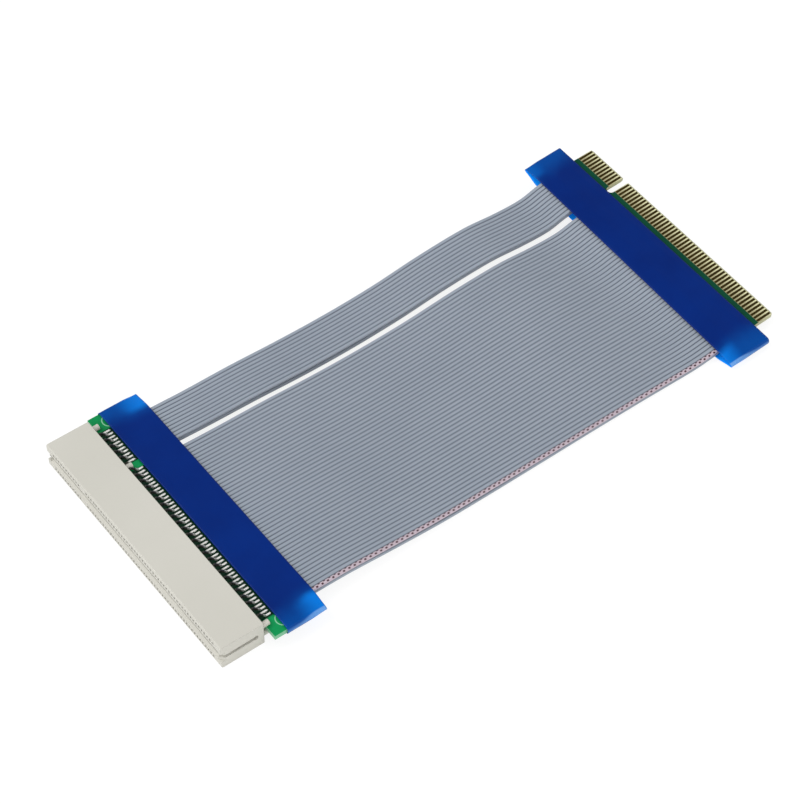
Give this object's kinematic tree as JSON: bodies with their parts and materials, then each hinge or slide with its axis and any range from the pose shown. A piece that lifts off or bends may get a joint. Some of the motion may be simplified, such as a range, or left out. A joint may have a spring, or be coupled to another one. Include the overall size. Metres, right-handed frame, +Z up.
{
  "type": "pci riser cable",
  "caption": "Flat ribbon riser cable with a moulded card socket on one end and a keyed edge plug board on the other.",
  "frame": {"origin": "middle of the cable's outline on the table it lies on", "axes": "+X from the socket's end to the plug's tab, +Y to the short contact group, +Z up from the table"},
  "size_m": [0.1958, 0.0926, 0.0107],
  "materials": {
    "moulding": "satin ivory plastic with bright tinned contact tails",
    "board": "green solder mask over glass laminate",
    "tape": "glossy blue film",
    "ribbon": "satin grey ribbed insulation"
  },
  "bodies": {
    "root": {"socket_housing": "moulding", "socket_board": "board", "plug_board": "board", "socket_tape": "tape", "plug_tape": "tape", "upper_narrow_ribbon": "ribbon", "upper_wide_ribbon": "ribbon", "lower_narrow_ribbon": "ribbon", "lower_wide_ribbon": "ribbon"}
  },
  "joints": []
}
